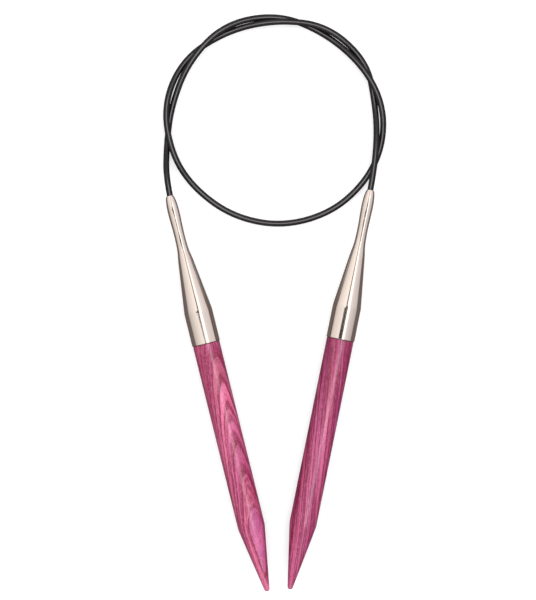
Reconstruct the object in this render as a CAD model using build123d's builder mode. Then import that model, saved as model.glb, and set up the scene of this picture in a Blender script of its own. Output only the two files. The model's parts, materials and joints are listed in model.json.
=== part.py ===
"""Circular knitting needle: two laminated wood tips in metal ferrules, joined by one thin cable.

Millimetres, +Z up, lying on the plane Z = 0. The origin is at the middle of the base of the two needles,
which point down towards -Y. The cable loops away towards +Y.
"""

from build123d import *
from math import acos, atan2, cos, hypot, pi, radians, sin, tan
import os

os.makedirs("parts", exist_ok=True)

# ---- the two needles, where they lie ----
needle_length = 120.0  # ferrule mouth to point
needle_diameter = 8.0
left_mouth = (-29.7, 57.3)
left_lean = 13.9  # degrees from -Y towards +X
right_mouth = (29.5, 59.0)
right_lean = -11.45

# ---- ferrule: distances are from its mouth, along the needle ----
ferrule_length = 44.8
ferrule_diameter = 8.35
mouth_radius, mouth_flare = 1.08, 0.45  # radius, and how fast it grows there
swell_at, swell_radius = 1.8, 1.53
bulge_at, bulge_radius = 5.2, 1.72
waist_at, waist_radius = 12.4, 1.54
flare_at, flare_radius = 17.0, 1.78
cone_start, cone_start_radius = 20.8, 2.38
cone_end = 35.0
wall = 0.42
socket_gap = 0.3  # from the tenon's end to the bottom of its socket
edge_break = 0.12

# ---- tip ----
tenon_length, tenon_diameter = 9.0, 7.0
point_length = 19.5
point_radius = 0.8
edge_softness = 0.1
shoulder_softness = 6.0

# ---- cable and the sleeves crimped on its ends ----
cable_diameter = 1.8
cable_depth = 5.5  # how far the cable reaches into each ferrule
cable_lead = 4.5  # where it starts to bend, outside each ferrule
corner_share = 0.45  # of the shorter run, taken up by a corner's arc
mouth_clearance = 0.06
stop_start, stop_length, stop_radius = 2.1, 4.1, 1.22
stop_clearance = 0.06
sleeve_clearance, end_clearance = 0.02, 0.05  # round the cable, and past its end
crimp_depth, crimp_width = 0.12, 0.5
crimp_places = (0.3, 0.6)  # shares of the sleeve's length

table_gap, strand_gap = 0.05, 0.25
axis_height = ferrule_diameter / 2
low = cable_diameter / 2 + table_gap  # a strand on the table
top = low + cable_diameter + strand_gap  # a strand on top of the other

loop_centre = (0.5, 80.2)
# Points of the cable from the left needle to the right one, clockwise round the loop's centre:
# degrees from +X, distance from the centre, height. The strands pass over each other at about
# 187, 132, 72, 18 and -24 degrees, where the upper one has a point at its top on each side.
route = [
    (194, 32.2, low),
    (173, 30.1, low),
    (146, 29.9, top),
    (117, 31.35, top),
    (87, 31.15, low),
    (59, 29.95, low),
    (31, 31.0, top),
    (8, 33.1, top),
    (-13, 33.8, low),
    (-34, 33.4, low),
    (-58, 32.8, low),
    (-85, 31.9, low),
    (-112, 31.1, low),
    (-138, 30.9, low),
    (-160, 31.5, top),
    (-187, 32.4, top),
    (-214, 31.8, low),
    (-243, 29.4, low),
    (-273, 29.25, top),
    (-301, 32.0, top),
    (-329, 32.85, low),
    (-352, 30.8, low),
    (-369, 31.4, top),
]


def needle_plane(mouth, lean):
    """Plane on a needle's axis: its x runs from the ferrule's mouth to the point, its normal is up."""
    along = (sin(radians(lean)), -cos(radians(lean)), 0)
    return Plane(origin=(*mouth, axis_height), x_dir=along, z_dir=(0, 0, 1))


def finish(part, name):
    """Label a piece and write its file."""
    part.label = name
    export_step(part, f"parts/{name}.step")
    print(f"{name}: {part.volume:.2f} mm3")


def make_tip(side, plane):
    """Round wood tip: a tenon, a straight shaft and a cone with a rounded point."""
    radius = needle_diameter / 2
    shoulder = needle_length - point_length
    ball = needle_length - point_radius  # centre of the rounded end
    tangent = atan2(radius, shoulder - ball) - acos(point_radius / hypot(ball - shoulder, radius))
    with BuildPart() as tip:
        with BuildSketch(plane):
            with BuildLine():
                outline = FilletPolyline(
                    (ferrule_length, radius - edge_break),
                    (ferrule_length + edge_break, radius),
                    (shoulder, radius),
                    (ball + point_radius * cos(tangent), point_radius * sin(tangent)),
                    radius=[edge_softness, shoulder_softness],
                )
                TangentArc(outline @ 1, (needle_length, 0), tangent=outline % 1)
                Polyline(
                    outline @ 0,
                    (ferrule_length, tenon_diameter / 2),
                    (ferrule_length - tenon_length + edge_break, tenon_diameter / 2),
                    (ferrule_length - tenon_length, tenon_diameter / 2 - edge_break),
                    (ferrule_length - tenon_length, 0),
                    (needle_length, 0),
                )
            make_face()
        revolve(axis=Axis(plane.origin, plane.x_dir))
    finish(tip.part, f"{side}_tip")


def make_ferrule(side, plane):
    """Hollow ferrule: rounded mouth, a neck with a bulge and a waist, a cone and a straight socket."""
    radius = ferrule_diameter / 2
    bore = cable_diameter / 2 + mouth_clearance
    chamber = stop_radius + stop_clearance
    chamber_start = stop_start - stop_clearance
    chamber_end = stop_start + stop_length + stop_clearance
    socket_start = ferrule_length - tenon_length - socket_gap
    cone_slope = (radius - cone_start_radius) / (cone_end - cone_start)
    with BuildPart() as ferrule:
        with BuildSketch(plane):
            with BuildLine():
                mouth = Line((0, bore), (0, mouth_radius))
                neck = Spline(
                    mouth @ 1,
                    (swell_at, swell_radius),
                    (bulge_at, bulge_radius),
                    (waist_at, waist_radius),
                    (flare_at, flare_radius),
                    (cone_start, cone_start_radius),
                    tangents=[(1, mouth_flare), (1, cone_slope)],
                )
                cone = FilletPolyline(
                    neck @ 1,
                    (cone_end, radius),
                    (ferrule_length - edge_break, radius),
                    radius=shoulder_softness,
                )
                Polyline(
                    cone @ 1,
                    (ferrule_length, radius - edge_break),
                    (ferrule_length, tenon_diameter / 2),
                    (socket_start, tenon_diameter / 2),
                    (socket_start, tenon_diameter / 2 - wall),
                    (cone_start - wall, cone_start_radius - 2 * wall),
                    (waist_at + wall, waist_radius - wall),
                    (chamber_end + wall, waist_radius - wall),
                    (chamber_end, chamber),
                    (chamber_start, chamber),
                    (chamber_start, bore),
                    (0, bore),
                )
            make_face()
        revolve(axis=Axis(plane.origin, plane.x_dir))
    finish(ferrule.part, f"{side}_ferrule")


def make_cable_stop(side, plane):
    """Sleeve with a closed back, crimped on the cable's end by two rings."""
    bore = cable_diameter / 2 + sleeve_clearance
    bottom = cable_depth + end_clearance
    back = stop_start + stop_length
    with BuildPart() as stop:
        with BuildSketch(plane):
            with BuildLine():
                Polyline(
                    (stop_start, bore),
                    (stop_start, stop_radius - edge_break),
                    (stop_start + edge_break, stop_radius),
                    (back - edge_break, stop_radius),
                    (back, stop_radius - edge_break),
                    (back, 0),
                    (bottom, 0),
                    (bottom, bore),
                    close=True,
                )
            make_face()
        revolve(axis=Axis(plane.origin, plane.x_dir))
        with BuildSketch(plane):
            for share in crimp_places:
                with Locations((stop_start + share * stop_length, stop_radius)):
                    Rectangle(crimp_width, 2 * crimp_depth)
        revolve(axis=Axis(plane.origin, plane.x_dir), mode=Mode.SUBTRACT)
    finish(stop.part, f"{side}_cable_stop")


def on_axis(plane, distance):
    """Point on a needle's axis, at a distance from the ferrule's mouth."""
    return plane.origin + plane.x_dir * distance


def corner_radii(points):
    """Radius of the arc at each corner: as large as the two runs beside it allow."""
    radii = []
    for before, here, after in zip(points, points[1:], points[2:]):
        shorter = min((here - before).length, (after - here).length)
        turn = (here - before).get_angle(after - here)
        radii.append(corner_share * shorter / tan(radians(turn / 2)))
    return radii


def make_cable(left, right):
    """Cable: straight runs joined by arcs, from inside one ferrule to inside the other."""
    centre = Vector(*loop_centre, 0)
    loop = [
        centre + Vector(r * cos(radians(a)), r * sin(radians(a)), z) for a, r, z in route
    ]
    points = [
        on_axis(left, cable_depth),
        on_axis(left, -cable_lead),
        *loop,
        on_axis(right, -cable_lead),
        on_axis(right, cable_depth),
    ]
    radii = corner_radii(points)
    with BuildPart() as cable:
        with BuildLine():
            path = FilletPolyline(*points, radius=radii)
        with BuildSketch(Plane(path @ 0, z_dir=path % 0)):
            Circle(cable_diameter / 2)
        sweep(path=path)
    runs = [(b - a).length for a, b in zip(points, points[1:])]
    section = pi * cable_diameter**2 / 4
    print("runs:", *(f"{run:.1f}" for run in runs))
    print("corner radii:", *(f"{r:.1f}" for r in radii))
    print(f"length {path.length:.1f}, section x length {section * path.length:.2f} mm3")
    finish(cable.part, "cable")


left = needle_plane(left_mouth, left_lean)
right = needle_plane(right_mouth, right_lean)
for side, plane in (("left", left), ("right", right)):
    make_tip(side, plane)
    make_ferrule(side, plane)
    make_cable_stop(side, plane)
make_cable(left, right)
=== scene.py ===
"""Looks of the circular knitting needle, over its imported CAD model: metres, +Z up.

Two laminated wood tips in polished ferrules, and one black cable that loops round nearly twice.
"""

import bpy
import json
from math import cos, pi, radians, sin
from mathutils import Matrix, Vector


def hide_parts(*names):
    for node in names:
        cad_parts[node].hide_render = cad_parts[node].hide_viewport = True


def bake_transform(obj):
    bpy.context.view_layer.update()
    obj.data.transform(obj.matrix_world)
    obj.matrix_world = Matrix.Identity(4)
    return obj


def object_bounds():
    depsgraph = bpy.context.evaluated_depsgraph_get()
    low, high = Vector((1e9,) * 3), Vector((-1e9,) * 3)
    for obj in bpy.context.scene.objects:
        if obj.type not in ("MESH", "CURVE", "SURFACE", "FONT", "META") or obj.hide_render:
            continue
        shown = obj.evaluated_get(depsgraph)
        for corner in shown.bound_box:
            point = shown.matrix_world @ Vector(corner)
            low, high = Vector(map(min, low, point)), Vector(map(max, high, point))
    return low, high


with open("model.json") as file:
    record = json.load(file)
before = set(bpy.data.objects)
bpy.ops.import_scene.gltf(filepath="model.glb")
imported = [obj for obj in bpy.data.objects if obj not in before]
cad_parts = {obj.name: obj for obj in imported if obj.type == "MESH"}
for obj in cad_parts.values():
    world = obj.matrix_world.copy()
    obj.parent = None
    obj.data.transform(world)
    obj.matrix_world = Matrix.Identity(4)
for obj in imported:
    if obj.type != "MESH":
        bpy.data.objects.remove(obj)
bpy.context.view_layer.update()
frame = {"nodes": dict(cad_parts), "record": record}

MM = 0.001
mounts = {mount["name"]: mount for mount in frame["record"]["mounts"]}
axis_height = mounts["left_shaft"]["pos_m"][2]

# ---- the needles as part.py lays them: mouth of the ferrule, lean from -Y towards +X in degrees ----
needles = {
    "left": {"mouth": (-29.7 * MM, 57.3 * MM), "lean": 13.9},
    "right": {"mouth": (29.5 * MM, 59.0 * MM), "lean": -11.45},
}
ferrule_length, needle_length = 44.8, 120.0  # millimetres from the mouth, as the materials measure

# ---- camera ----
focal_length, sensor = 150.0, 36.0
framed = 1.037  # height of the picture, in heights of the object
framed_offset = (-1.97 * MM, 0.6 * MM)  # middle of the picture, from the middle of the object

# ---- cable: the route of part.py ----
cable_diameter = 1.8 * MM
cable_depth, cable_lead = 5.5 * MM, 4.5 * MM  # how far it runs straight, inside and outside the mouth
low, top = 0.95 * MM, 3.0 * MM  # height of its middle on the table, and over another strand
loop_centre = (0.5 * MM, 80.2 * MM)
route = [  # degrees from +X, millimetres from the loop's centre, height
    (194, 32.2, low),
    (173, 30.1, low),
    (146, 29.9, top),
    (117, 31.35, top),
    (87, 31.15, low),
    (59, 29.95, low),
    (31, 31.0, top),
    (8, 33.1, top),
    (-13, 33.8, low),
    (-34, 33.4, low),
    (-58, 32.8, low),
    (-85, 31.9, low),
    (-112, 31.1, low),
    (-138, 30.9, low),
    (-160, 31.5, top),
    (-187, 32.4, top),
    (-214, 31.8, low),
    (-243, 29.4, low),
    (-273, 29.25, top),
    (-301, 32.0, top),
    (-329, 32.85, low),
    (-352, 30.8, low),
    (-369, 31.4, top),
]
spline_order, steps_per_point = 3, 24
cable_sides = 32
end_dome = 0.25  # how far its two ends stand out, in radii


# ---- making objects and node trees ----


def link(obj):
    bpy.context.scene.collection.objects.link(obj)
    return obj


def node(tree, kind, inputs=None, **settings):
    """A shader node with its settings made, and its inputs linked or filled."""
    made = tree.nodes.new("ShaderNode" + kind)
    for name, value in settings.items():
        setattr(made, name, value)
    for key, value in (inputs or {}).items():
        if isinstance(value, bpy.types.NodeSocket):
            tree.links.new(value, made.inputs[key])
        else:
            made.inputs[key].default_value = value
    return made


def math(tree, operation, *values, clamp=False):
    return node(tree, "Math", dict(enumerate(values)), operation=operation, use_clamp=clamp).outputs[0]


def vector_math(tree, operation, *values):
    made = node(tree, "VectorMath", dict(enumerate(values)), operation=operation)
    return made.outputs["Value" if operation in ("DOT_PRODUCT", "LENGTH") else "Vector"]


def split(tree, vector):
    return node(tree, "SeparateXYZ", {0: vector}).outputs


def joined(tree, x=0.0, y=0.0, z=0.0):
    return node(tree, "CombineXYZ", {0: x, 1: y, 2: z}).outputs[0]


def spread(tree, value, from_low, from_high, to_low=0.0, to_high=1.0, smooth=False):
    """value from one range to another, held at its ends."""
    inputs = {0: value, 1: from_low, 2: from_high, 3: to_low, 4: to_high}
    kind = "SMOOTHSTEP" if smooth else "LINEAR"
    return node(tree, "MapRange", inputs, interpolation_type=kind).outputs[0]


def mix(tree, factor, first, second, blend="MIX"):
    made = node(tree, "Mix", {0: factor}, data_type="RGBA", blend_type=blend)
    for key, value in ((6, first), (7, second)):
        if isinstance(value, bpy.types.NodeSocket):
            tree.links.new(value, made.inputs[key])
        else:
            made.inputs[key].default_value = (*value[:3], 1.0)
    return made.outputs[2]


def ramp(tree, value, stops, interpolation="LINEAR"):
    """A colour ramp. stops are (position, colour) or (position, grey)."""
    made = node(tree, "ValToRGB", {0: value})
    band = made.color_ramp
    band.interpolation = interpolation
    while len(band.elements) < len(stops):
        band.elements.new(1.0)
    for element, (position, colour) in zip(band.elements, stops):
        element.position = position
    for element, (position, colour) in zip(band.elements, stops):
        grey = isinstance(colour, (int, float))
        element.color = (colour, colour, colour, 1.0) if grey else (*colour, 1.0)
    return made.outputs[0]


def noise(tree, place, stretch=None, detail=2.0, roughness=0.5, scale=1.0):
    """Noise over a place, which stretch multiplies first along its three axes."""
    if stretch:
        place = vector_math(tree, "MULTIPLY", place, stretch)
    inputs = {"Vector": place, "Scale": scale, "Detail": detail, "Roughness": roughness}
    return node(tree, "TexNoise", inputs).outputs[0]


def vary(tree, field, first=0.0, last=1.0):
    """From first to last as a noise goes from its usual low to its usual high."""
    return spread(tree, field, 0.3, 0.7, first, last)


def new_material(name):
    """An empty material: itself, its tree and its Principled shader."""
    material = bpy.data.materials.new(name)
    material.use_nodes = True
    tree = material.node_tree
    tree.nodes.clear()
    output = node(tree, "OutputMaterial")
    shader = node(tree, "BsdfPrincipled")
    tree.links.new(shader.outputs[0], output.inputs["Surface"])
    return material, tree, shader


def feed(tree, shader, **inputs):
    """Links or sets the shader's sockets, named as Blender does with _ for a space."""
    for name, value in inputs.items():
        socket = shader.inputs[name.replace("_", " ")]
        if isinstance(value, bpy.types.NodeSocket):
            tree.links.new(value, socket)
        else:
            socket.default_value = value


def bump(tree, height, distance, strength=1.0, normal=None):
    inputs = {"Height": height, "Distance": distance, "Strength": strength}
    if normal is not None:
        inputs["Normal"] = normal
    return node(tree, "Bump", inputs).outputs[0]


# ---- places on a needle ----


def needle_point(side, along):
    """A point on a needle's axis, metres from its ferrule's mouth towards the wood's point."""
    x, y = needles[side]["mouth"]
    lean = radians(needles[side]["lean"])
    return Vector((x + sin(lean) * along, y - cos(lean) * along, axis_height))


def needle_turn(side):
    """The rotation from +X to the direction in which a needle points."""
    return (0, 0, radians(needles[side]["lean"] - 90))


def needle_coordinates(tree, side):
    """Millimetres along the needle from its mouth, across it and above its axis."""
    inputs = {
        "Vector": node(tree, "TexCoord").outputs["Object"],
        "Location": needle_point(side, 0),
        "Rotation": needle_turn(side),
        "Scale": (MM, MM, MM),
    }
    return node(tree, "Mapping", inputs, vector_type="TEXTURE").outputs[0]


def turned_normal(tree, side, place):
    """Normal of a turned piece: the mesh's own, swung round to point straight away from the axis."""
    swing = {"Rotation": needle_turn(side)}
    own = node(tree, "NewGeometry").outputs["Normal"]
    turn = {"vector_type": "NORMAL", "convert_from": "WORLD", "convert_to": "OBJECT"}
    own = node(tree, "VectorTransform", {0: own}, **turn).outputs[0]
    own = node(tree, "Mapping", swing | {"Vector": own}, vector_type="TEXTURE").outputs[0]
    slope = split(tree, own)[0]
    parts = split(tree, place)
    outward = vector_math(tree, "NORMALIZE", joined(tree, y=parts[1], z=parts[2]))
    level = math(tree, "SUBTRACT", 1.0, math(tree, "MULTIPLY", slope, slope), clamp=True)
    facing = math(tree, "SIGN", vector_math(tree, "DOT_PRODUCT", own, outward))
    level = math(tree, "MULTIPLY", math(tree, "SQRT", level), facing)
    made = vector_math(tree, "ADD", vector_math(tree, "MULTIPLY", outward, level), joined(tree, x=slope))
    made = node(tree, "Mapping", swing | {"Vector": made}, vector_type="POINT").outputs[0]
    back = {"vector_type": "NORMAL", "convert_from": "OBJECT", "convert_to": "WORLD"}
    return node(tree, "VectorTransform", {0: made}, **back).outputs[0]


# ---- camera and cable ----


def make_camera():
    low_corner, high_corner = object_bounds()
    data = bpy.data.cameras.new("camera")
    data.lens = focal_length
    data.sensor_width = sensor
    camera = link(bpy.data.objects.new("camera", data))
    middle = (low_corner + high_corner) / 2
    distance = (high_corner.y - low_corner.y) * framed * focal_length / sensor
    camera.location = (
        middle.x + framed_offset[0],
        middle.y + framed_offset[1],
        axis_height + distance,
    )
    bpy.context.scene.camera = camera


def route_points():
    points = [needle_point("left", cable_depth), needle_point("left", -cable_lead)]
    for angle, distance, height in route:
        turn = radians(angle)
        x = loop_centre[0] + distance * MM * cos(turn)
        y = loop_centre[1] + distance * MM * sin(turn)
        points.append(Vector((x, y, height)))
    points += [needle_point("right", -cable_lead), needle_point("right", cable_depth)]
    return points


def cable_line(points):
    """Points along the NURBS spline that has the route as its control points."""
    data = bpy.data.curves.new("cable_route", "CURVE")
    data.dimensions = "3D"
    spline = data.splines.new("NURBS")
    spline.points.add(len(points) - 1)
    for control, point in zip(spline.points, points):
        control.co = (*point, 1.0)
    spline.order_u = spline_order
    spline.use_endpoint_u = True
    spline.resolution_u = steps_per_point
    curve = link(bpy.data.objects.new("cable_route", data))
    bpy.context.view_layer.update()
    evaluated = curve.evaluated_get(bpy.context.evaluated_depsgraph_get())
    mesh = bpy.data.meshes.new_from_object(evaluated)
    line = [vertex.co.copy() for vertex in mesh.vertices]
    bpy.data.objects.remove(curve)
    bpy.data.meshes.remove(mesh)
    return line


def tube(name, line, radius, sides):
    """A closed tube round a line, its rings carried along without twist, its two ends domed a little."""
    ends = [line[0] - (line[1] - line[0]).normalized() * radius * end_dome]
    ends.append(line[-1] + (line[-1] - line[-2]).normalized() * radius * end_dome)
    vertices, faces = [], []
    across = None
    for index, point in enumerate(line):
        before, after = line[max(index - 1, 0)], line[min(index + 1, len(line) - 1)]
        forward = (after - before).normalized()
        across = forward.orthogonal() if across is None else across - forward * across.dot(forward)
        across.normalize()
        beside = forward.cross(across)
        for side in range(sides):
            turn = 2 * pi * side / sides
            vertices.append(point + (across * cos(turn) + beside * sin(turn)) * radius)
    rings = len(line)
    for ring in range(rings - 1):
        for side in range(sides):
            beyond = (side + 1) % sides
            a, b = ring * sides + side, ring * sides + beyond
            faces.append((a, b, b + sides, a + sides))
    vertices += ends
    for side in range(sides):
        beyond = (side + 1) % sides
        last = (rings - 1) * sides
        faces.append((beyond, side, rings * sides))
        faces.append((last + side, last + beyond, rings * sides + 1))
    mesh = bpy.data.meshes.new(name)
    mesh.from_pydata(vertices, [], faces)
    mesh.polygons.foreach_set("use_smooth", [True] * len(faces))
    mesh.update()
    return link(bpy.data.objects.new(name, mesh))


def make_cable(material):
    line = cable_line(route_points())
    cable = tube("cable_jacket", line, cable_diameter / 2, cable_sides)
    cable.data.materials.append(material)
    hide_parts("cable")
    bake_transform(cable)
    return cable


# ---- wood ----

blush = (0.54, 0.105, 0.185)
rose = (0.46, 0.078, 0.158)
lilac = (0.43, 0.080, 0.185)
pink = (0.41, 0.052, 0.130)
orchid = (0.38, 0.046, 0.155)
mauve = (0.27, 0.026, 0.098)
iris = (0.335, 0.046, 0.182)
violet = (0.31, 0.026, 0.140)
magenta = (0.29, 0.015, 0.088)
crimson = (0.24, 0.010, 0.052)
peach = (0.56, 0.165, 0.210)
olive = (0.27, 0.040, 0.072)
coral = (0.46, 0.105, 0.160)
maroon = (0.15, 0.008, 0.036)
glue = (0.165, 0.001, 0.030)
pale = (0.45, 0.145, 0.235)  # just past a glue line
highlight = (0.66, 0.185, 0.305)  # light fibres
shadow = (0.200, 0.002, 0.045)  # dark fibres
pore = (0.08, 0.008, 0.03)
worn = (0.45, 0.12, 0.21)  # at the point
seam_shade = (0.06, 0.01, 0.02)  # painted shade where the wood meets the ferrule's edge

# The board each tip is turned from. facing is the way its veneers face: along the needle, across it and
# up, in veneer thicknesses per millimetre. start is where the first veneer begins and last how deep the
# last one goes. bloom is how pale each is past its glue line. soaked says where across the needle the dye
# went deeper, from one place to another in millimetres, and how much there. tone is the tint of the
# lacquer, and veneers their colours in order.
boards = {
    "left": {
        "facing": (0.1132, 0.443, 0.833),
        "start": 0.33,
        "last": 14.36,
        "bloom": 1.0,
        "soaked": (-1.0, 2.6, 1.7, 2.0),
        "tone": (0.97, 0.80, 0.93),
        "veneers": [
            mauve, rose, pink, orchid, rose, pink, pink, rose,
            lilac, coral, blush, lilac, orchid, blush, iris, violet,
        ],
    },
    "right": {
        "facing": (0.098, -0.975, 0.1025),
        "start": -0.865,
        "last": 15.9,
        "bloom": 0.35,
        "soaked": (-2.0, -3.4, 1.35, 2.0),
        "tone": (0.79, 0.53, 0.78),
        "veneers": [
            rose, magenta, crimson, pink, violet, crimson, pink, peach,
            magenta, lilac, olive, magenta, blush, crimson, blush, maroon,
        ],
    },
}
# How far a veneer strays from flat, in thicknesses: in long waves and in short ripples.
wave_height, ripple_height = 0.22, 0.07
# Through one veneer, from glue line to glue line: how much glue shows, and how pale it is.
glue_ramp = [(0.0, 0.9), (0.07, 0.2), (0.12, 0.0), (0.5, 0.04), (0.8, 0.5), (0.93, 1.0)]
pale_ramp = [(0.03, 0.0), (0.12, 0.62), (0.3, 0.45), (0.55, 0.0)]
# Where a noise turns light and where dark: it starts at the first level, is full at the second, and then
# has the third as its share.
growth_light, growth_dark = (0.51, 0.64, 0.75), (0.49, 0.37, 0.95)
fibre_light, fibre_dark = (0.53, 0.72, 0.60), (0.47, 0.28, 0.70)
mottle_light, mottle_dark = (0.52, 0.75, 0.40), (0.48, 0.28, 0.45)
# What the growth lines vary with: millimetres along the needle, and depth in veneers.
growth_along, growth_depth = 0.03, 1.9
worn_length, worn_share = 2.5, 0.35
# painted shade on the wood at the ferrule's edge: millimetres along the needle, and its share
seam_shade_length, seam_shade_share = 0.3, 0.75


def flecked(tree, colour, field, light, dark):
    """colour with the light fibres where field is high, and the dark ones where it is low."""
    for tint, (start, full, share) in ((highlight, light), (shadow, dark)):
        colour = mix(tree, spread(tree, field, start, full, 0.0, share), colour, tint)
    return colour


def veneer_depth(tree, board, place):
    """How many veneers lie between the board's face and a place in it."""
    waves = noise(tree, place, (0.06, 0.25, 0.25))
    ripple = noise(tree, place, (0.35, 0.9, 0.9), 3.0)
    depth = vector_math(tree, "DOT_PRODUCT", place, board["facing"])
    for field, height in ((waves, wave_height), (ripple, ripple_height)):
        depth = math(tree, "ADD", depth, spread(tree, field, 0.2, 0.8, -height, height))
    return math(tree, "MINIMUM", math(tree, "SUBTRACT", depth, board["start"]), board["last"])


def laminate(side):
    """Laminated dyed birch under lacquer: veneers, glue lines, fibres, pores, a worn point and painted shade
    at the ferrule.
    """
    board = boards[side]
    material, tree, shader = new_material(side + "_laminate")
    place = needle_coordinates(tree, side)
    along, across = split(tree, place)[:2]
    depth = veneer_depth(tree, board, place)
    count = len(board["veneers"])
    stops = [(index / count, colour) for index, colour in enumerate(board["veneers"])]
    veneer = ramp(tree, math(tree, "DIVIDE", depth, float(count)), stops, "CONSTANT")
    # darker towards the glue line, which is sharp on its far side, and palest just past it
    within = math(tree, "FRACT", depth)
    glued = ramp(tree, within, glue_ramp)
    paled = ramp(tree, within, pale_ramp)
    figure = noise(tree, place, (0.5, 1.6, 1.6), 3.0, 0.6)
    soaked = spread(tree, across, *board["soaked"])
    patchy = math(tree, "MULTIPLY", vary(tree, figure, 0.6, 1.2), soaked)
    clouded = spread(tree, figure, 0.7, 0.3, 0.4 * board["bloom"], 1.2 * board["bloom"])
    colour = mix(tree, math(tree, "MULTIPLY", paled, clouded, clamp=True), veneer, pale)
    colour = mix(tree, math(tree, "MULTIPLY", glued, patchy, clamp=True), colour, glue)
    # thin growth lines within a veneer and parallel to it, then fibres along the grain, then a mottle
    growth_x = math(tree, "MULTIPLY", along, growth_along)
    growth_y = math(tree, "MULTIPLY", depth, growth_depth)
    growth = noise(tree, joined(tree, growth_x, growth_y), roughness=0.65)
    colour = flecked(tree, colour, growth, growth_light, growth_dark)
    fibre = noise(tree, place, (0.5, 3.2, 3.2), 3.0, 0.7)
    colour = flecked(tree, colour, fibre, fibre_light, fibre_dark)
    mottle = noise(tree, place, (1.3, 2.6, 2.6), roughness=0.65)
    colour = flecked(tree, colour, mottle, mottle_light, mottle_dark)
    fleck = noise(tree, place, (2.2, 6.0, 6.0), roughness=0.6)
    pores = spread(tree, fleck, 0.60, 0.72, 0.0, 0.5)
    colour = mix(tree, pores, colour, pore)
    colour = mix(tree, 1.0, colour, board["tone"], "MULTIPLY")
    # rubbed and slightly paler at the point, and darker with painted shade where the wood meets the ferrule
    rubbed = spread(tree, along, needle_length - worn_length, needle_length, 0.0, worn_share, smooth=True)
    colour = mix(tree, rubbed, colour, worn)
    seam_shade_end = ferrule_length + seam_shade_length
    seam_shading = spread(tree, along, seam_shade_end, ferrule_length, 0.0, seam_shade_share, smooth=True)
    colour = mix(tree, seam_shading, colour, seam_shade)
    smear = noise(tree, place, (0.2, 0.5, 0.5), 3.0)
    relief = math(tree, "ADD", math(tree, "MULTIPLY", fibre, 0.6), math(tree, "MULTIPLY", pores, -0.8))
    feed(
        tree,
        shader,
        Base_Color=colour,
        Roughness=vary(tree, smear, 0.36, 0.5),
        Specular_IOR_Level=0.1,
        Coat_Weight=0.85,
        Coat_Roughness=0.34,
        Normal=bump(tree, relief, 0.02 * MM, 0.7),
    )
    return material


# ---- metal and cable ----

nickel, nickel_clouded = (0.71, 0.605, 0.535), (0.68, 0.58, 0.515)
# the edge colour is painted shade, where the ferrule meets the wood
nickel_pit, nickel_edge_shade = (0.25, 0.2, 0.18), (0.30, 0.24, 0.22)
dulled_shaded_length, dulled_shaded_share = 0.35, 0.7  # of the ferrule's edge at the wood, in millimetres: dulled, and darkened with painted shade
jacket, jacket_hazed, jacket_dust = (0.003, 0.0022, 0.0028), (0.006, 0.005, 0.0055), (0.07, 0.062, 0.062)
steel, steel_stained = (0.52, 0.51, 0.49), (0.36, 0.34, 0.32)


def ferrule_metal(side):
    """Polished nickel: a warm grey mirror with faint turning marks, specks, and a dulled edge darkened with
    painted shade at the wood.
    """
    material, tree, shader = new_material(side + "_nickel")
    place = needle_coordinates(tree, side)
    along = split(tree, place)[0]
    cloud = noise(tree, place, (0.12, 0.3, 0.3), 3.0)
    marks = noise(tree, place, (14.0, 0.15, 0.15), roughness=0.6)
    speck = noise(tree, place, (1.6, 1.6, 1.6), 1.0)
    pits = spread(tree, speck, 0.74, 0.79)
    dulled_shaded_start = ferrule_length - dulled_shaded_length
    edge = spread(tree, along, dulled_shaded_start, ferrule_length, 0.0, dulled_shaded_share, smooth=True)
    colour = mix(tree, vary(tree, cloud), nickel, nickel_clouded)
    colour = mix(tree, math(tree, "MULTIPLY", pits, 0.25), colour, nickel_pit)
    # painted shade darkens the colour at the ferrule's edge by the wood; the same edge is rougher, as dulled
    colour = mix(tree, edge, colour, nickel_edge_shade)
    rough = vary(tree, cloud, 0.045, 0.085)
    rough = math(tree, "ADD", rough, spread(tree, marks, 0.4, 0.8, 0.0, 0.03))
    rough = math(tree, "ADD", rough, math(tree, "MULTIPLY", edge, 0.25))
    height = math(tree, "ADD", math(tree, "MULTIPLY", marks, 0.25), math(tree, "MULTIPLY", pits, -0.3))
    feed(
        tree,
        shader,
        Base_Color=colour,
        Metallic=1.0,
        Roughness=rough,
        Normal=bump(tree, height, 0.004 * MM, 0.12, turned_normal(tree, side, place)),
    )
    return material


def cable_jacket():
    """Black nylon jacket, drawn smooth: semi-gloss, with faint haze and fine dust."""
    material, tree, shader = new_material("black_jacket")
    place = node(tree, "TexCoord").outputs["Object"]
    haze = noise(tree, place, detail=3.0, scale=160.0)
    grain = noise(tree, place, roughness=0.6, scale=3500.0)
    colour = mix(tree, vary(tree, haze), jacket, jacket_hazed)
    colour = mix(tree, spread(tree, grain, 0.66, 0.8, 0.0, 0.3), colour, jacket_dust)
    feed(
        tree,
        shader,
        Base_Color=colour,
        Roughness=vary(tree, haze, 0.17, 0.23),
        Specular_IOR_Level=0.25,
        Normal=bump(tree, math(tree, "ADD", grain, haze), 0.01 * MM, 0.25),
    )
    return material


def sleeve_steel(side):
    """Crimped steel sleeve, drawn and unpolished."""
    material, tree, shader = new_material(side + "_sleeve_steel")
    place = needle_coordinates(tree, side)
    drawn = noise(tree, place, (0.8, 12.0, 12.0), 3.0, 0.6)
    stain = noise(tree, place, detail=3.0, scale=0.9)
    feed(
        tree,
        shader,
        Base_Color=mix(tree, spread(tree, stain, 0.35, 0.7), steel, steel_stained),
        Metallic=1.0,
        Roughness=vary(tree, drawn, 0.28, 0.45),
        Normal=bump(tree, drawn, 0.008 * MM, 0.5),
    )
    return material


# ---- floor ----

floor_half = 4.0
# What the camera sees of the table: plain white.
floor_seen, floor_glow = (0.6, 0.6, 0.6), 0.5
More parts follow.
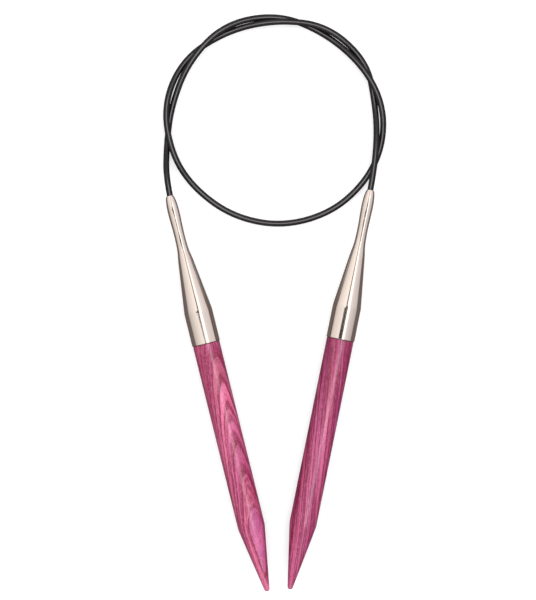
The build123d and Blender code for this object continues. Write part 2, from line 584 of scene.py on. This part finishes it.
# What shines back at the ferrules: a dim table with a lit part, its middle, its reach and where it fades.
floor_dim, floor_lit = (0.16, 0.14, 0.135), (0.6, 0.59, 0.59)
lit_middle, lit_reach, lit_fade = (0.0, 64 * MM, 0.0), (20 * MM, 32 * MM, 1.0), (1.0, 0.5)


def make_floor():
    mesh = bpy.data.meshes.new("floor")
    corners = [(-1, -1), (1, -1), (1, 1), (-1, 1)]
    mesh.from_pydata([(x * floor_half, y * floor_half, 0) for x, y in corners], [], [(0, 1, 2, 3)])
    floor = link(bpy.data.objects.new("floor", mesh))
    material = bpy.data.materials.new("paper")
    material.use_nodes = True
    tree = material.node_tree
    tree.nodes.clear()
    seen = node(tree, "LightPath").outputs["Is Camera Ray"]
    inputs = {"Vector": node(tree, "TexCoord").outputs["Object"], "Location": lit_middle, "Scale": lit_reach}
    place = node(tree, "Mapping", inputs, vector_type="TEXTURE").outputs[0]
    lit_part = spread(tree, vector_math(tree, "LENGTH", place), *lit_fade, smooth=True)
    tone = mix(tree, seen, mix(tree, lit_part, floor_dim, floor_lit), floor_seen)
    paper = node(tree, "BsdfDiffuse", {"Color": tone})
    glow = math(tree, "MULTIPLY", seen, floor_glow)
    shine = node(tree, "Emission", {"Color": (1, 1, 1, 1), "Strength": glow})
    shader = node(tree, "AddShader", {0: paper.outputs[0], 1: shine.outputs[0]})
    output = node(tree, "OutputMaterial")
    tree.links.new(shader.outputs[0], output.inputs["Surface"])
    mesh.materials.append(material)


# ---- light ----

# Directions in the tent are in degrees from straight up: the slant goes towards +X, and the slope +Y.
# The tent over the table: brightness by slant.
tent = [
    (-90, 0.66),
    (-70, 0.97),
    (-50, 1.09),
    (-33, 1.22),
    (-16, 1.36),
    (16, 1.36),
    (33, 1.15),
    (50, 1.00),
    (70, 0.92),
    (90, 0.75),
]
far_light = (-30.0, 30.0, 0.88, 1.12)  # more of it from the far side: slopes, brightness
cool_side, cool_slants = (0.985, 0.985, 1.04), (-10.0, 40.0)  # tint of the light from +X
matt_share = (0.58, 1.5)  # what matt surfaces get of it, against mirrors: level, and straight down
backdrop = (0.93, 0.93, 0.93, 1)  # what the camera sees of it
# The lit panel overhead: brightness by slant, how far it reaches by slope, and its soft edge.
panel = [
    (1.8, 0.0),
    (2.4, 1.2),
    (8.0, 1.6),
    (13.0, 2.3),
    (21.0, 2.3),
    (26.0, 1.9),
    (31.0, 0.0),
]
panel_reach, panel_soft = 22.0, 8.0
# The dark slit beside the panel: its middle and half its width by slant, and its soft edge. At the wide
# slopes it is wider by slit_widening, and at the thin ones, which lean with the left needle, it is thin.
slit_middle, slit_half, slit_soft, slit_glow = -0.5, 3.7, 0.5, 0.06
slit_wide_slopes, slit_wide_soft, slit_widening = (-4.0, 9.0), 1.5, 5.5
slit_thin_slopes, slit_thin_soft, slit_thin_half, slit_thin_lean = (-1.2, 0.15), 0.1, 1.7, 0.247
# The camera, a dark patch across the slit: its slants, and the slopes of its foot and of its leaning head.
lens_slants, lens_soft, lens_glow = (-19.0, 1.5), 1.0, 0.08
lens_foot, lens_foot_soft = 0.0, 0.15
lens_head, lens_head_soft, lens_head_lean = 0.9, 0.4, -0.20
# Softboxes that each light only some pieces, which would return too little of the tent: size, slant,
# the place on the table they stand over when upright, and brightness.
softbox_distance = 0.6
softbox_colour = (1.0, 0.94, 0.97)
cable_softbox = {"size": (0.36, 0.36), "slant": 0.0, "over": loop_centre, "glow": 10.5}
wood_softbox = {"size": (0.07, 0.4), "slant": 18.0, "over": (0.0, -65 * MM), "glow": 14.0}


def edged(tree, value, edge, soft, falling=False):
    """From 0 to 1 as value passes an edge, or from 1 to 0, over soft on either side."""
    soft = -soft if falling else soft
    return spread(tree, value, edge - soft, edge + soft, smooth=True)


def between(tree, value, first, last, soft):
    """1 where value is from first to last, fading out over soft on either side."""
    return math(tree, "MULTIPLY", edged(tree, value, first, soft), edged(tree, value, last, soft, True))


def by_angle(tree, angle, levels):
    """Brightness from a list of (degrees, brightness)."""
    brightest = max(level for degrees, level in levels)
    stops = [((degrees + 90) / 180, level / brightest) for degrees, level in levels]
    glow = ramp(tree, spread(tree, angle, -90.0, 90.0), stops)
    return mix(tree, 1.0, glow, (brightest,) * 3, "MULTIPLY")


def slit_shape(tree, slant, slope):
    wide = between(tree, slope, *slit_wide_slopes, slit_wide_soft)
    half = math(tree, "ADD", math(tree, "MULTIPLY", wide, slit_widening), slit_half)
    upright = math(tree, "SUBTRACT", slope, math(tree, "MULTIPLY", slant, slit_thin_lean))
    thin = between(tree, upright, *slit_thin_slopes, slit_thin_soft)
    half = mix(tree, thin, half, (slit_thin_half,) * 3)
    off_middle = math(tree, "ABSOLUTE", math(tree, "SUBTRACT", slant, slit_middle))
    return edged(tree, math(tree, "SUBTRACT", off_middle, half), 0.0, slit_soft, falling=True)


def lens_shape(tree, slant, slope):
    past_head = math(tree, "SUBTRACT", math(tree, "MULTIPLY", slant, lens_head_lean), slope)
    below_head = edged(tree, past_head, -lens_head, lens_head_soft)
    above_foot = edged(tree, slope, lens_foot, lens_foot_soft)
    shape = math(tree, "MULTIPLY", below_head, above_foot)
    return math(tree, "MULTIPLY", shape, between(tree, slant, *lens_slants, lens_soft))


def make_light():
    """A white tent with a brighter panel overhead, and the dark slit and camera beside it."""
    world = bpy.data.worlds.new("tent")
    bpy.context.scene.world = world
    world.use_nodes = True
    tree = world.node_tree
    tree.nodes.clear()
    parts = split(tree, node(tree, "TexCoord").outputs["Generated"])
    upward = math(tree, "MAXIMUM", parts[2], 0.0)
    slant = math(tree, "DEGREES", math(tree, "ARCTAN2", parts[0], upward))
    slope = math(tree, "DEGREES", math(tree, "ARCTAN2", parts[1], upward))
    tint = mix(tree, spread(tree, slant, *cool_slants, smooth=True), (1, 1, 1), cool_side)
    glow = mix(tree, 1.0, by_angle(tree, slant, tent), tint, "MULTIPLY")
    glow = mix(tree, 1.0, glow, spread(tree, slope, *far_light), "MULTIPLY")
    reach = between(tree, slope, -panel_reach, panel_reach, panel_soft)
    glow = mix(tree, reach, glow, mix(tree, 1.0, glow, by_angle(tree, slant, panel), "LIGHTEN"))
    glow = mix(tree, slit_shape(tree, slant, slope), glow, (slit_glow,) * 3)
    glow = mix(tree, lens_shape(tree, slant, slope), glow, (lens_glow,) * 3)
    path = node(tree, "LightPath").outputs
    matt = spread(tree, upward, 0.0, 1.0, *matt_share)
    strength = spread(tree, path["Is Diffuse Ray"], 0.0, 1.0, 1.0, matt)
    lit = node(tree, "Background", {"Color": glow, "Strength": strength})
    plain = node(tree, "Background", {"Color": backdrop, "Strength": 1.0})
    both = node(tree, "MixShader", {0: path["Is Camera Ray"], 1: lit.outputs[0], 2: plain.outputs[0]})
    output = node(tree, "OutputWorld")
    tree.links.new(both.outputs[0], output.inputs["Surface"])


def make_softbox(name, lit, size, slant, over, glow):
    data = bpy.data.lights.new(name, "AREA")
    data.shape = "RECTANGLE"
    data.size, data.size_y = size
    data.energy = glow * pi * size[0] * size[1]
    data.color = softbox_colour
    lamp = link(bpy.data.objects.new(name, data))
    turn = radians(slant)
    lamp.location = (over[0] + sin(turn) * softbox_distance, over[1], cos(turn) * softbox_distance)
    lamp.rotation_euler = (0, turn, 0)
    lamp.visible_camera = False
    only = bpy.data.collections.new("lit_by_" + name)
    for obj in lit:
        only.objects.link(obj)
    lamp.light_linking.receiver_collection = only


# ---- everything, in order ----

make_camera()
cable = make_cable(cable_jacket())

finishes = {}
for side in needles:
    finishes[side + "_tip"] = laminate(side)
    finishes[side + "_ferrule"] = ferrule_metal(side)
    finishes[side + "_cable_stop"] = sleeve_steel(side)
for name, material in finishes.items():
    for slot in frame["nodes"][name].material_slots:
        slot.material = material

make_floor()
make_light()
make_softbox("cable_softbox", [cable], **cable_softbox)
make_softbox("wood_softbox", [frame["nodes"][side + "_tip"] for side in needles], **wood_softbox)
bpy.context.scene.view_settings.view_transform = "Standard"
